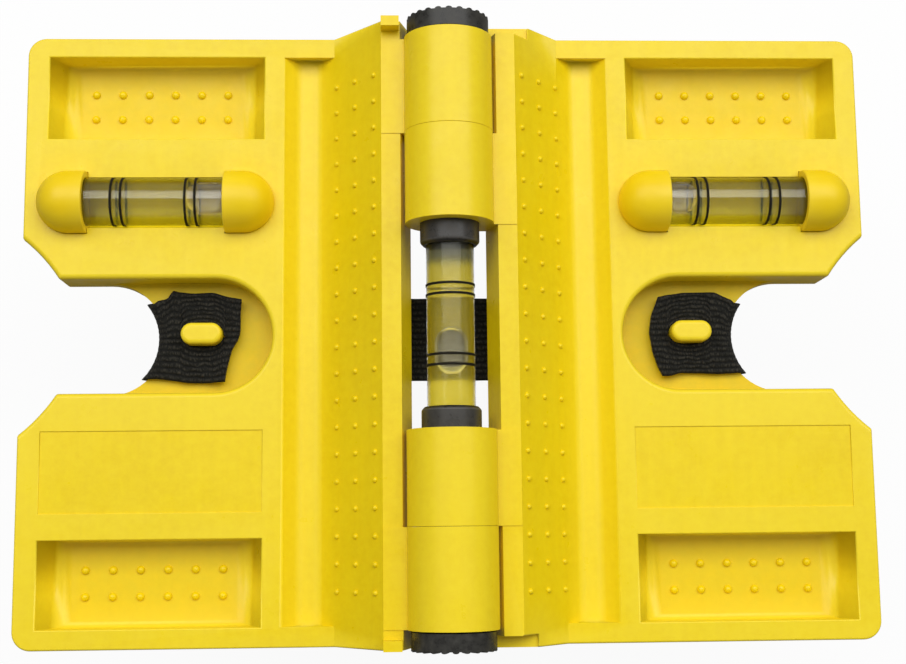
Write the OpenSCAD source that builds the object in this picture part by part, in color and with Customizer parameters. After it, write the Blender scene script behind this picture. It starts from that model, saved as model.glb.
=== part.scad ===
// Folding post level: two hinged leaves, three tubular vials and an elastic strap.
// It lies open on its back: +X to the right leaf, +Y up the hinge, +Z to the viewer.
// The origin is under the middle of the hinge, on the plane of the back faces.

/* [Leaves] */
// From the hinge axis to the outer edge of a leaf
leaf_w = 86; // [84:0.5:92]
// Height of a leaf along the hinge
leaf_h = 124; // [122:0.5:130]
// Thickness of the flat part of a leaf
leaf_t = 10; // [9.5:0.1:11]
// Radius of the outer corners
corner_r = 3.7; // [2:0.1:5]

/* [Notch and strap recess] */
// Width of the notch in the outer edge
notch_w = 23.2; // [22:0.1:25]
// Depth of the notch from the outer edge
notch_reach = 28; // [26:0.1:29]
// Length of the notch's corner cut along the leaf width
mouth_run = 7.4; // [5:0.1:9]
// Length of the notch's corner cut along the outer edge
mouth_rise = 8.2; // [6:0.1:10]
// How far the corner cut bows into the leaf
mouth_bow = 0.45; // [0.2:0.05:0.8]
// Length of the strap recess beyond the notch
recess_reach = 22.3; // [21:0.1:23]
// Height of the recess floor above the back face
recess_floor = 3.6; // [3.3:0.1:4.2]

/* [Strap peg] */
// Length of the oblong peg
peg_len = 8.4; // [7:0.1:9.5]
// Width of the oblong peg
peg_w = 4.4; // [3.5:0.1:5]
// Height of the peg above the recess floor
peg_rise = 4.6; // [3.5:0.1:5.5]
// From the inner end of the notch to the middle of the peg
peg_inset = 7.8; // [7.4:0.1:8.6]
// From the middle of the notch to the middle of the peg, up the hinge
peg_offset = 0.7; // [0:0.1:1.5]

/* [Finger pockets] */
// Length of a pocket along the leaf width
pocket_len = 44; // [40:0.5:46]
// Height of a pocket along the hinge
pocket_h = 17.3; // [15:0.1:18]
// Thickness left under a pocket
pocket_floor = 3; // [2:0.1:4]
// Slope run of the pocket's end walls
pocket_slope = 2.9; // [2:0.1:3.5]
// Rim between a pocket and the end of the leaf
end_rim = 4; // [3.5:0.1:4.5]
// Rim between a pocket and the outer edge of the leaf
edge_rim = 4.5; // [3.5:0.1:5.5]
// Diameter of a pocket's grip bump
grip_bump_d = 1.7; // [1.2:0.1:2.2]
// Spacing of grip bumps along the leaf width
grip_pitch = 5.5; // [5:0.1:6]
// Spacing of the two rows of grip bumps
grip_row_pitch = 5.3; // [4.5:0.1:6]

/* [Label panel] */
// Height of the blank label panel
panel_h = 16.3; // [14:0.1:18]
// From the middle of the leaf to the near edge of the panel
panel_from = 19.2; // [18.5:0.1:21]
// Depth of the panel
panel_depth = 0.25; // [0.15:0.05:0.5]

/* [Trough and wing] */
// Width of the trough's floor
trough_w = 4.2; // [3.5:0.1:5]
// Slope run of the trough's outer side
trough_slope = 3; // [2:0.1:3.2]
// Height of the trough's floor above the back face
trough_floor = 6.5; // [5.5:0.1:7.5]
// Run of the inclined wing, from the trough to the rail
wing_run = 12.9; // [12:0.1:13.4]
// Wall thickness of the wing
wing_wall = 3; // [2.5:0.1:3.5]
// Width of the flat rail beside the barrel
rail_w = 3.8; // [3.2:0.1:4.2]
// Height of the rail's back above the back face
rail_back = 13.7; // [13.5:0.1:14.5]
// Diameter of a wing bump
wing_bump_d = 1.15; // [0.9:0.05:1.5]
// Spacing of wing bumps along the hinge
wing_pitch = 5.4; // [5:0.05:5.8]
// Least margin between a wing bump and the end of the leaf
wing_margin = 10; // [8:0.1:11]

/* [Hinge] */
// Height of the hinge axis above the back faces
axis_h = 21; // [20.6:0.1:22]
// Outside diameter of the barrel
barrel_d = 17.6; // [17:0.1:18]
// Length of the window between the two barrels
window_len = 40.6; // [38:0.2:43]
// Length of an inner knuckle
inner_knuckle = 18.5; // [17:0.1:20]
// Gap between neighbouring knuckles, and under a pin head
knuckle_gap = 0.3; // [0.2:0.05:0.5]
// Diameter of a hinge pin
pin_d = 11.7; // [11.2:0.1:12.2]
// Clearance on the diameter of a turning pin
pin_clearance = 0.1; // [0.06:0.02:0.2]
// Chamfer of a pin's inner end
pin_nose = 0.6; // [0.3:0.1:0.8]
// How far the side of a pin head lies inside the barrel's
head_inset = 0.6; // [0.4:0.1:0.9]
// Length of a pin head
head_t = 3.7; // [3.4:0.1:4.5]
// Length of the outer end of a barrel that a pin head takes
head_room = 3.8; // [3.6:0.1:4.2]
// How far a pin shows in the window
pin_show = 4.4; // [3.5:0.1:5]
// Teeth round the rim of a pin head
head_teeth = 24; // [20:1:28]
// Diameter of a tooth of a pin head
tooth_d = 1.3; // [1:0.1:1.5]
// How far a tooth stands out past the side of a pin head
tooth_proud = 0.2; // [0.1:0.05:0.3]
// Length of a tooth along the radius of a pin head
tooth_len = 2; // [1.5:0.1:3]
// How far a knuckle's web stands above its rail
web_rise = 0.2; // [0.1:0.05:0.25]
// Clearance between a leaf's rail and the other leaf's barrel
rail_gap = 0.8; // [0.7:0.1:1]
// Height of a register lug above its rail
lug_rise = 3.4; // [3:0.1:5]
// Width of a register lug
lug_w = 3.6; // [3:0.1:3.8]
// Length of a register lug along the hinge
lug_t = 2; // [1.5:0.1:2.5]
// Clearance round a register lug in its notch
lug_clearance = 0.4; // [0.3:0.05:0.6]

/* [Vials] */
// Outside diameter of a leaf vial's tube
leaf_tube_d = 9.6; // [9:0.1:10]
// Outside diameter of the hinge vial's tube
hinge_tube_d = 9.4; // [8.8:0.1:9.6]
// Wall thickness of every tube
tube_wall = 1; // [0.8:0.05:1.3]
// Length of a leaf vial that shows between its caps
vial_show = 27.9; // [26:0.1:29]
// Depth of the socket in a cap or a pin
socket_depth = 4.1; // [3.6:0.1:4.6]
// Clearance on the diameter of a tube in its socket
socket_clearance = 0.1; // [0.06:0.02:0.2]
// End play of a tube between its two sockets
end_play = 0.2; // [0.1:0.05:0.4]
// Diameter of a dome cap
cap_d = 12.7; // [12.2:0.1:13.2]
// Length of the straight part of a dome cap
cap_straight = 3.7; // [3.2:0.1:4.5]
// From the middle of the leaf to the axis of its vial
vial_y = 27.3; // [26.8:0.1:28]
// From the outer edge of the leaf to the middle of its vial
vial_inset = 26.7; // [26:0.1:27.5]
// Height of a leaf vial's axis above the back face
vial_h = 10.5; // [10.3:0.1:11.2]
// Clearance on the radius of a cap in its bed
bed_clearance = 0.1; // [0.06:0.02:0.2]
// Clearance on the radius of a leaf vial's tube in its bed
tube_bed_clearance = 0.5; // [0.3:0.05:0.8]
// Length of a stopper in a tube
plug_len = 3; // [2.5:0.1:3.5]
// Thickness of the closed end of a tube
tube_end = 1.6; // [1.2:0.1:2]
// Width of a ring on a tube
line_w = 0.5; // [0.3:0.05:0.7]
// Thickness of a ring on a tube
line_t = 0.12; // [0.1:0.02:0.2]
// From the middle of a leaf vial to its nearest rings
leaf_line_from = 6.4; // [5.5:0.1:6.8]
// From the middle of the hinge vial to its nearest rings
hinge_line_from = 5.9; // [5:0.1:6.5]
// Spacing of the two rings on each side of a vial's middle
line_pitch = 2; // [1.5:0.05:2.2]
// Length of the hinge vial's bubble
hinge_bubble_len = 8.6; // [6:0.1:9]
// Length of a leaf vial's bubble, which lies against the stopper
leaf_bubble_len = 7.6; // [6:0.1:9]
// Width of a bubble
bubble_d = 5.2; // [4.5:0.1:5.6]
// From the middle of the hinge vial to its bubble, down the hinge
hinge_bubble = 4; // [0:0.1:5]

/* [Strap] */
// Width of the elastic strap
strap_w = 18.4; // [16:0.1:19]
// Thickness of the strap
strap_t = 1.4; // [1.2:0.05:1.5]
// Depth of the strap's channel in the back
channel_depth = 1.8; // [1.7:0.05:2]
// Clearance between the strap and the leaf
strap_clearance = 0.2; // [0.1:0.02:0.25]
// Clearance between the strap's slot and the peg
slot_clearance = 0.3; // [0.2:0.05:0.5]
// Length of strap beyond the middle of the peg
strap_tail = 8.6; // [7:0.1:9.2]

/* [Hidden] */
$fn = 48;
// Overshoot of a cut past a face
cut = 1;

leaf_yellow = [0.96, 0.82, 0.12];
cap_yellow = [0.98, 0.80, 0.06];
pin_black = [0.13, 0.13, 0.12];
strap_black = [0.09, 0.09, 0.08];
clear_tube = [0.90, 0.92, 0.86, 0.45];
spirit = [0.72, 0.70, 0.30, 0.80];
stopper_grey = [0.75, 0.75, 0.68];
ink_black = [0.05, 0.05, 0.05];

// Hinge
half_h = leaf_h / 2;
barrel_r = barrel_d / 2;
window_half = window_len / 2;
barrel_end = half_h - head_room;
split_y = window_half + inner_knuckle;
bore_d = pin_d + pin_clearance;
pin_inner = window_half - pin_show;
head_d = barrel_d - 2 * head_inset;
head_from = barrel_end + knuckle_gap;

// Cross-section of a leaf, as distances from the hinge axis
rail_drop = 0.3;
rail_draft = 2;
rail_top = axis_h - rail_drop;
rail_in = barrel_r + rail_gap;
rail_foot = rail_in - rail_draft;
rail_out = rail_in + rail_w;
wing_base = rail_out + wing_run;
trough_out = wing_base + trough_w;
trough_lip = trough_out + trough_slope;
wing_rise = rail_top - trough_floor;
wing_len = sqrt(wing_run * wing_run + wing_rise * wing_rise);
wing_level = wing_wall * wing_len / wing_rise;
function wing_front(z) = wing_base - (z - trough_floor) * wing_run / wing_rise;
function wing_back(z) = wing_front(z) - wing_level;
vee_mouth = wing_back(0);

// Wing bumps: three columns, at these shares of the wing from its base
wing_columns = [0.29, 0.585, 0.885];
wing_bump_span = leaf_h - 2 * wing_margin;
wing_rows = floor(wing_bump_span / wing_pitch) + 1;
wing_bump_y0 = -wing_pitch * (wing_rows - 1) / 2;

// Pockets
grip_columns = 6;
pocket_mid = leaf_w - edge_rim - pocket_len / 2;
pocket_y = half_h - end_rim - pocket_h / 2;

// Notch and strap
notch_r = notch_w / 2;
notch_end = leaf_w - notch_reach;
notch_mid = notch_end + notch_r;
recess_end = notch_end - recess_reach;
peg_mid = notch_end - peg_inset;
strap_half = strap_w / 2;
channel_half = strap_half + 2 * strap_clearance;
strap_bottom = channel_depth - strap_clearance - strap_t;
strap_top = recess_floor + strap_clearance;
strap_bend = notch_r - strap_clearance;
strap_free = peg_mid - strap_tail;

// Leaf vials
vial_x = leaf_w - vial_inset;
tube_len = vial_show + 2 * socket_depth - end_play;
cap_r = cap_d / 2;
cap_from = vial_show / 2;
hinge_tube_len = 2 * (pin_inner + socket_depth) - end_play;
fit_gap = 0.03;
leaf_bubble = tube_len / 2 - plug_len - 4 * fit_gap - leaf_bubble_len / 2;

// Helpers

// A cylinder along the hinge between two places on it
module hinge_rod(y0, y1, d) {
    translate([0, y1, axis_h]) rotate([90, 0, 0]) cylinder(d = d, h = y1 - y0);
}

// An outline of the leaf's cross-section, drawn out along the hinge
module along_hinge(len) {
    rotate([90, 0, 0]) linear_extrude(height = len, center = true) children();
}

// An oblong with round ends, along X
module oblong(len, w) {
    square([len - w, w], center = true);
    for (side = [-1, 1]) translate([side * (len - w) / 2, 0]) circle(d = w);
}

// The same thing at both ends of the leaf
module both_ends() {
    children();
    mirror([0, 1, 0]) children();
}

// Pieces of a leaf, drawn for the right-hand side

module leaf_section() {
    along_hinge(leaf_h) polygon([
        [vee_mouth, 0],
        [leaf_w, 0],
        [leaf_w, leaf_t],
        [wing_front(leaf_t), leaf_t],
        [rail_out, rail_top],
        [rail_in, rail_top],
        [rail_foot, rail_back],
        [wing_back(rail_back), rail_back]
    ]);
}

module trough_cut() {
    above = leaf_t + cut;
    lip_above = trough_lip + cut * trough_slope / (leaf_t - trough_floor);
    along_hinge(leaf_h - 2 * end_rim) polygon([
        [wing_base, trough_floor],
        [trough_out, trough_floor],
        [lip_above, above],
        [wing_front(above), above]
    ]);
}

module corner_cut() {
    translate([leaf_w - corner_r, half_h - corner_r, -cut]) linear_extrude(leaf_t + 2 * cut)
        difference() {
            square(corner_r + cut);
            circle(corner_r);
        }
}

module notch_cut() {
    translate([0, 0, -cut]) linear_extrude(leaf_t + 2 * cut) {
        translate([notch_mid, 0]) circle(notch_r);
        translate([notch_mid, -notch_r]) square([notch_reach, notch_w]);
        mouth_outline();
        mirror([0, 1]) mouth_outline();
    }
}

// The corner cut at the notch's mouth: a triangle with a bowed long side
module mouth_outline() {
    chord = sqrt(mouth_run * mouth_run + mouth_rise * mouth_rise);
    bow_r = chord * chord / (8 * mouth_bow) + mouth_bow / 2;
    slant = atan2(mouth_rise, mouth_run);
    polygon([
        [leaf_w - mouth_run, notch_r],
        [leaf_w, notch_r - cut],
        [leaf_w + cut, notch_r + mouth_rise],
        [leaf_w, notch_r + mouth_rise]
    ]);
    translate([leaf_w - mouth_run, notch_r]) rotate(slant) intersection() {
        translate([0, -cut]) square([chord, mouth_bow + 2 * cut]);
        translate([chord / 2, mouth_bow - bow_r]) circle(bow_r);
    }
}

module recess_cut() {
    translate([0, 0, recess_floor]) linear_extrude(leaf_t) {
        translate([recess_end + notch_r, 0]) circle(notch_r);
        translate([recess_end + notch_r, -notch_r]) square([notch_mid - recess_end - notch_r, notch_w]);
    }
}

module channel_cut() {
    translate([0, -channel_half, -cut]) cube([notch_mid, 2 * channel_half, channel_depth + cut]);
}

module pocket_cut() {
    half = pocket_len / 2;
    depth = leaf_t - pocket_floor;
    flare = cut * pocket_slope / depth;
    translate([pocket_mid, pocket_y, 0]) along_hinge(pocket_h) polygon([
        [pocket_slope - half, pocket_floor],
        [half - pocket_slope, pocket_floor],
        [half + flare, leaf_t + cut],
        [-half - flare, leaf_t + cut]
    ]);
}

module panel_cut() {
    translate([pocket_mid - pocket_len / 2, -panel_from - panel_h, leaf_t - panel_depth])
        cube([pocket_len, panel_h, panel_depth + cut]);
}

module vial_bed_cut() {
    bed = cap_r + bed_clearance;
    tube_bed_d = leaf_tube_d + 2 * tube_bed_clearance;
    translate([vial_x, vial_y, vial_h]) {
        rotate([0, 90, 0]) cylinder(d = tube_bed_d, h = vial_show + cut, center = true);
        for (side = [-1, 1]) {
            rotate([0, 90 * side, 0]) translate([0, 0, cap_from - bed_clearance]) {
                cylinder(r = bed, h = cap_straight + bed_clearance);
                translate([0, 0, cap_straight]) sphere(bed);
            }
        }
    }
}

module grip_bumps() {
    x0 = pocket_mid - grip_pitch * (grip_columns - 1) / 2;
    for (col = [0 : grip_columns - 1], row = [-0.5, 0.5])
        translate([x0 + col * grip_pitch, pocket_y + row * grip_row_pitch, pocket_floor])
            sphere(d = grip_bump_d);
}

module wing_bumps() {
    for (row = [0 : wing_rows - 1], share = wing_columns)
        translate([
            wing_base - share * wing_run,
            wing_bump_y0 + row * wing_pitch,
            trough_floor + share * wing_rise
        ]) sphere(d = wing_bump_d);
}

module peg() {
    translate([peg_mid, peg_offset, recess_floor - cut]) linear_extrude(peg_rise + cut)
        oblong(peg_len, peg_w);
}

// One knuckle and the web that joins it to the leaf's rail
module knuckle(y0, y1) {
    web_foot = rail_back + rail_drop;
    web_top = rail_top + web_rise;
    hinge_rod(y0, y1, barrel_d);
    translate([pin_d / 2, y0, web_foot]) cube([rail_out - pin_d / 2, y1 - y0, web_top - web_foot]);
}

module register_lug() {
    translate([rail_out - lug_w, half_h - lug_t, rail_top - cut]) cube([lug_w, lug_t, lug_rise + cut]);
}

module register_notch() {
    depth = lug_rise + 2 * lug_clearance;
    translate([0, half_h - lug_t - lug_clearance, rail_top - depth])
        cube([rail_out + wing_wall, lug_t + lug_clearance + cut, depth + cut]);
}

// Everything that the two leaves have alike; the children are a leaf's own knuckles
module leaf_blank() {
    difference() {
        union() {
            difference() {
                leaf_section();
                trough_cut();
                both_ends() pocket_cut();
                recess_cut();
            }
            both_ends() grip_bumps();
            wing_bumps();
            peg();
            both_ends() children();
        }
        both_ends() corner_cut();
        notch_cut();
        channel_cut();
        panel_cut();
        vial_bed_cut();
        hinge_rod(-half_h - cut, half_h + cut, bore_d);
    }
}

module left_leaf() {
    color(leaf_yellow) mirror([1, 0, 0]) {
        leaf_blank() knuckle(split_y + knuckle_gap / 2, barrel_end);
        both_ends() register_lug();
    }
}

module right_leaf() {
    color(leaf_yellow) difference() {
        leaf_blank() knuckle(window_half, split_y - knuckle_gap / 2);
        both_ends() register_notch();
    }
}

// Hinge pins

module hinge_pin() {
    head_end = head_from + head_t - tooth_d / 2;
    difference() {
        union() {
            hinge_rod(pin_inner + pin_nose, head_from + cut, pin_d);
            translate([0, pin_inner + pin_nose, axis_h]) rotate([90, 0, 0])
                cylinder(d1 = pin_d, d2 = pin_d - 2 * pin_nose, h = pin_nose);
            hinge_rod(head_from, head_end, head_d);
            for (k = [0 : head_teeth - 1])
                translate([0, head_end, axis_h]) rotate([0, 360 * k / head_teeth, 0])
                    translate([head_d / 2 + tooth_proud - tooth_len, 0, 0]) rotate([0, 90, 0])
                        cylinder(d = tooth_d, h = tooth_len);
        }
        hinge_rod(pin_inner - cut, pin_inner + socket_depth, hinge_tube_d + socket_clearance);
    }
}

module upper_hinge_pin() {
    color(pin_black) hinge_pin();
}

module lower_hinge_pin() {
    color(pin_black) rotate([0, 0, 180]) hinge_pin();
}

// Vials, drawn along +Z about their middle, with the closed end at the bottom

module vial_tube(d, len) {
    translate([0, 0, -len / 2]) difference() {
        cylinder(d = d, h = len);
        translate([0, 0, tube_end]) cylinder(d = d - 2 * tube_wall, h = len);
    }
}

module vial_plug(d, len) {
    translate([0, 0, len / 2 - plug_len]) cylinder(r = d / 2 - tube_wall - fit_gap, h = plug_len);
}

// The spirit, with its bubble against the side that is up (-X here)
module vial_fluid(d, len, bubble_at, bubble_len) {
    bore_r = d / 2 - tube_wall;
    fluid_len = len - tube_end - plug_len;
    bubble_r = bubble_d / 2;
    reach = bubble_len / 2 - bubble_r;
    difference() {
        translate([0, 0, tube_end - len / 2 + fit_gap])
            cylinder(r = bore_r - fit_gap, h = fluid_len - 2 * fit_gap);
        translate([bubble_r - bore_r, 0, bubble_at]) {
            cylinder(r = bubble_r, h = 2 * reach, center = true);
            for (side = [-1, 1]) translate([0, 0, side * reach]) sphere(bubble_r);
        }
    }
}

module vial_lines(d, line_from) {
    for (side = [-1, 1], at = [line_from, line_from + line_pitch])
        translate([0, 0, side * at]) difference() {
            cylinder(r = d / 2 + fit_gap + line_t, h = line_w, center = true);
            cylinder(r = d / 2 + fit_gap, h = line_w + cut, center = true);
        }
}

// Turns a vial onto the hinge axis, closed end up the hinge
module on_hinge() {
    translate([0, 0, axis_h]) rotate([90, 0, 0]) rotate([0, 0, -90]) children();
}

module hinge_vial_tube() {
    color(clear_tube) on_hinge() vial_tube(hinge_tube_d, hinge_tube_len);
}

module hinge_vial_plug() {
    color(stopper_grey) on_hinge() vial_plug(hinge_tube_d, hinge_tube_len);
}

module hinge_vial_fluid() {
    color(spirit) on_hinge() vial_fluid(hinge_tube_d, hinge_tube_len, hinge_bubble, hinge_bubble_len);
}

module hinge_vial_lines() {
    color(ink_black) on_hinge() vial_lines(hinge_tube_d, hinge_line_from);
}

// Turns a vial into the right leaf's bed, closed end to the outer edge
module in_right_leaf() {
    translate([vial_x, vial_y, vial_h]) mirror([1, 0, 0]) rotate([0, 90, 0]) children();
}

module in_left_leaf() {
    mirror([1, 0, 0]) in_right_leaf() children();
}

module left_vial_tube() {
    color(clear_tube) in_left_leaf() vial_tube(leaf_tube_d, tube_len);
}

module left_vial_plug() {
    color(stopper_grey) in_left_leaf() vial_plug(leaf_tube_d, tube_len);
}

module left_vial_fluid() {
    color(spirit) in_left_leaf() vial_fluid(leaf_tube_d, tube_len, leaf_bubble, leaf_bubble_len);
}

module left_vial_lines() {
    color(ink_black) in_left_leaf() vial_lines(leaf_tube_d, leaf_line_from);
}

module right_vial_tube() {
    color(clear_tube) in_right_leaf() vial_tube(leaf_tube_d, tube_len);
}

module right_vial_plug() {
    color(stopper_grey) in_right_leaf() vial_plug(leaf_tube_d, tube_len);
}

module right_vial_fluid() {
    color(spirit) in_right_leaf() vial_fluid(leaf_tube_d, tube_len, leaf_bubble, leaf_bubble_len);
}

module right_vial_lines() {
    color(ink_black) in_right_leaf() vial_lines(leaf_tube_d, leaf_line_from);
}

// A dome cap on the upper end of a vial drawn along +Z
module dome_cap() {
    translate([0, 0, cap_from]) difference() {
        union() {
            cylinder(r = cap_r, h = cap_straight);
            translate([0, 0, cap_straight]) sphere(cap_r);
        }
        translate([0, 0, -cap_d]) cylinder(r = cap_d, h = cap_d);
        translate([0, 0, -cut]) cylinder(d = leaf_tube_d + socket_clearance, h = socket_depth + cut);
    }
}

module left_vial_inner_cap() {
    color(cap_yellow) in_left_leaf() dome_cap();
}

module left_vial_outer_cap() {
    color(cap_yellow) in_left_leaf() mirror([0, 0, 1]) dome_cap();
}

module right_vial_inner_cap() {
    color(cap_yellow) in_right_leaf() dome_cap();
}

module right_vial_outer_cap() {
    color(cap_yellow) in_right_leaf() mirror([0, 0, 1]) dome_cap();
}

// Strap

// A flat run of strap from x0 to the bend in the notch
module strap_run(x0, z0, h) {
    translate([0, 0, z0]) linear_extrude(h) difference() {
        translate([x0, -strap_half]) square([notch_mid - x0, strap_w]);
        translate([notch_mid, 0]) circle(strap_bend - strap_t);
    }
}

// The end of the strap: under the leaf, round the notch's edge and over the peg
module strap_end() {
    difference() {
        union() {
            strap_run(vee_mouth, strap_bottom, strap_t);
            strap_run(strap_free, strap_top, strap_t);
            intersection() {
                strap_run(vee_mouth, strap_bottom, strap_top + strap_t - strap_bottom);
                translate([notch_mid, 0, 0]) difference() {
                    cylinder(r = strap_bend, h = leaf_t);
                    translate([0, 0, -cut]) cylinder(r = strap_bend - strap_t, h = leaf_t + 2 * cut);
                }
            }
        }
        translate([peg_mid, peg_offset, strap_top - strap_clearance / 2]) linear_extrude(leaf_t)
            oblong(peg_len + 2 * slot_clearance, peg_w + 2 * slot_clearance);
    }
}

module strap_left_end() {
    color(strap_black) mirror([1, 0, 0]) strap_end();
}

module strap_right_end() {
    color(strap_black) strap_end();
}

module strap_span() {
    color(strap_black) translate([-vee_mouth, -strap_half, strap_bottom])
        cube([2 * vee_mouth, strap_w, strap_t]);
}

left_leaf();
right_leaf();
upper_hinge_pin();
lower_hinge_pin();
hinge_vial_tube();
hinge_vial_plug();
hinge_vial_fluid();
hinge_vial_lines();
left_vial_tube();
left_vial_plug();
left_vial_fluid();
left_vial_lines();
left_vial_outer_cap();
left_vial_inner_cap();
right_vial_tube();
right_vial_plug();
right_vial_fluid();
right_vial_lines();
right_vial_outer_cap();
right_vial_inner_cap();
strap_left_end();
strap_span();
strap_right_end();
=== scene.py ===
"""A folding post level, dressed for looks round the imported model.

The tool lies open on its back: +X to the right leaf, +Y up the hinge, +Z to the camera.
Sizes are in millimetres here and become metres where a mesh is made.
"""
import math

import bmesh
import bpy
import numpy as np
from mathutils import Matrix, Vector
from mathutils.geometry import delaunay_2d_cdt


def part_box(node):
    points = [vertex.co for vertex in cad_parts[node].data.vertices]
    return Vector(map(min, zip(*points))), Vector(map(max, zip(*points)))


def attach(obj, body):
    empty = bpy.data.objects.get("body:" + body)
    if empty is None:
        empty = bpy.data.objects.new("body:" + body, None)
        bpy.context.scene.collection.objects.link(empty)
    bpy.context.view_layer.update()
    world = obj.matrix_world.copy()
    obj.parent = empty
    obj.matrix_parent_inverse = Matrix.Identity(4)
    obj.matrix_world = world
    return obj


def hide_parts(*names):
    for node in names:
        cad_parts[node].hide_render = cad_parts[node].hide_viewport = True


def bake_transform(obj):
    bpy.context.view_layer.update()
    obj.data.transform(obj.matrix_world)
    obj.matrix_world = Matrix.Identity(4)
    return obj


MM = 0.001

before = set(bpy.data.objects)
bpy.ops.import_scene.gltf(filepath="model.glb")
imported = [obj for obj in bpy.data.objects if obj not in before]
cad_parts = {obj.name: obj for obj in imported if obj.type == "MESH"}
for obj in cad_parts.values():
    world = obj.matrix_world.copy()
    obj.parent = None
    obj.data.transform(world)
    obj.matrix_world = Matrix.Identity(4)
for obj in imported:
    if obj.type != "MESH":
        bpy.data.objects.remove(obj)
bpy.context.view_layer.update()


def box_mm(node):
    """Lowest and highest corner of a node, in millimetres."""
    low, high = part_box(node)
    return low / MM, high / MM


def middle_mm(node):
    low, high = box_mm(node)
    return (low + high) / 2


# Sizes that the dressing follows, as distances from the hinge axis and the back faces
FLAT_TOP = 10.0
POCKET_FLOOR = 3.0
RECESS_FLOOR = 3.6
TROUGH_FLOOR = 6.5
NOTCH_R = 11.6
NOTCH_MID = 69.6
PEG_MID = 50.2
PEG_Y = 0.7
AXIS_H = middle_mm("upper_hinge_pin").z
STRAP_T = box_mm("strap_span")[1].z - box_mm("strap_span")[0].z
STRAP_LOW = box_mm("strap_span")[0].z
STRAP_HIGH = box_mm("strap_right_end")[1].z

# Camera
PHOTO_W = 906
SENSOR_W = 36.0
FOCAL_PX = 1448.2
CAMERA_AT = Vector((-11.21, -40.2, 300.74))
CAMERA_LOOK = Vector((0.0412, 0.138, -0.9896))
CAMERA_UP = Vector((0.0055, 0.9904, 0.1383))
CLIP_NEAR = 0.01
CLIP_FAR = 20.0


def link(obj):
    bpy.context.scene.collection.objects.link(obj)
    return obj


def make_camera():
    data = bpy.data.cameras.new("camera")
    data.sensor_width = SENSOR_W
    data.lens = SENSOR_W * FOCAL_PX / PHOTO_W
    data.clip_start = CLIP_NEAR
    data.clip_end = CLIP_FAR
    camera = link(bpy.data.objects.new("camera", data))
    back = -CAMERA_LOOK.normalized()
    right = CAMERA_UP.cross(back).normalized()
    turn = Matrix((right, back.cross(right), back)).transposed()
    camera.matrix_world = Matrix.Translation(CAMERA_AT * MM) @ turn.to_4x4()
    bpy.context.scene.camera = camera


# Material helpers


class Nodes:
    """A material's node tree, with short calls for the nodes used here."""

    def __init__(self, name):
        self.material = bpy.data.materials.new(name)
        self.material.use_nodes = True
        self.tree = self.material.node_tree
        self.tree.nodes.clear()
        self.output = self.add("ShaderNodeOutputMaterial")
        self.place = self.add("ShaderNodeTexCoord").outputs["Object"]

    def add(self, kind, **values):
        node = self.tree.nodes.new(kind)
        for key, value in values.items():
            setattr(node, key, value)
        return node

    def join(self, source, target):
        self.tree.links.new(source, target)

    def shader(self, **values):
        node = self.add("ShaderNodeBsdfPrincipled")
        for key, value in values.items():
            node.inputs[key.replace("_", " ")].default_value = value
        self.join(node.outputs[0], self.output.inputs["Surface"])
        return node

    def noise(self, size_mm, detail=3.0, roughness=0.55, stretch=None):
        """Noise whose features are about size_mm wide, or wider along the axes in stretch."""
        node = self.add("ShaderNodeTexNoise")
        node.inputs["Scale"].default_value = 1 / (size_mm * MM)
        node.inputs["Detail"].default_value = detail
        node.inputs["Roughness"].default_value = roughness
        place = self.place
        if stretch:
            mapping = self.add("ShaderNodeMapping")
            mapping.inputs["Scale"].default_value = [1 / s for s in stretch]
            self.join(place, mapping.inputs["Vector"])
            place = mapping.outputs[0]
        self.join(place, node.inputs["Vector"])
        return node.outputs["Fac"]

    def remap(self, source, low, high, to_low, to_high):
        node = self.add("ShaderNodeMapRange")
        node.inputs["From Min"].default_value = low
        node.inputs["From Max"].default_value = high
        node.inputs["To Min"].default_value = to_low
        node.inputs["To Max"].default_value = to_high
        self.join(source, node.inputs["Value"])
        return node.outputs[0]

    def mix(self, share, first, second):
        """A colour between first and second, each a colour or a socket."""
        node = self.add("ShaderNodeMix", data_type="RGBA")
        self.join(share, node.inputs[0])
        for socket, value in ((node.inputs[6], first), (node.inputs[7], second)):
            if isinstance(value, tuple):
                socket.default_value = (*value, 1)
            else:
                self.join(value, socket)
        return node.outputs[2]

    def sum(self, first, second):
        node = self.add("ShaderNodeMath", operation="ADD")
        self.join(first, node.inputs[0])
        self.join(second, node.inputs[1])
        return node.outputs[0]

    def bump(self, height, depth_mm, strength=1.0, under=None):
        node = self.add("ShaderNodeBump")
        node.inputs["Strength"].default_value = strength
        node.inputs["Distance"].default_value = depth_mm * MM
        self.join(height, node.inputs["Height"])
        if under:
            self.join(under, node.inputs["Normal"])
        return node.outputs[0]

    def attribute(self, name):
        return self.add("ShaderNodeAttribute", attribute_name=name).outputs["Fac"]


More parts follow.
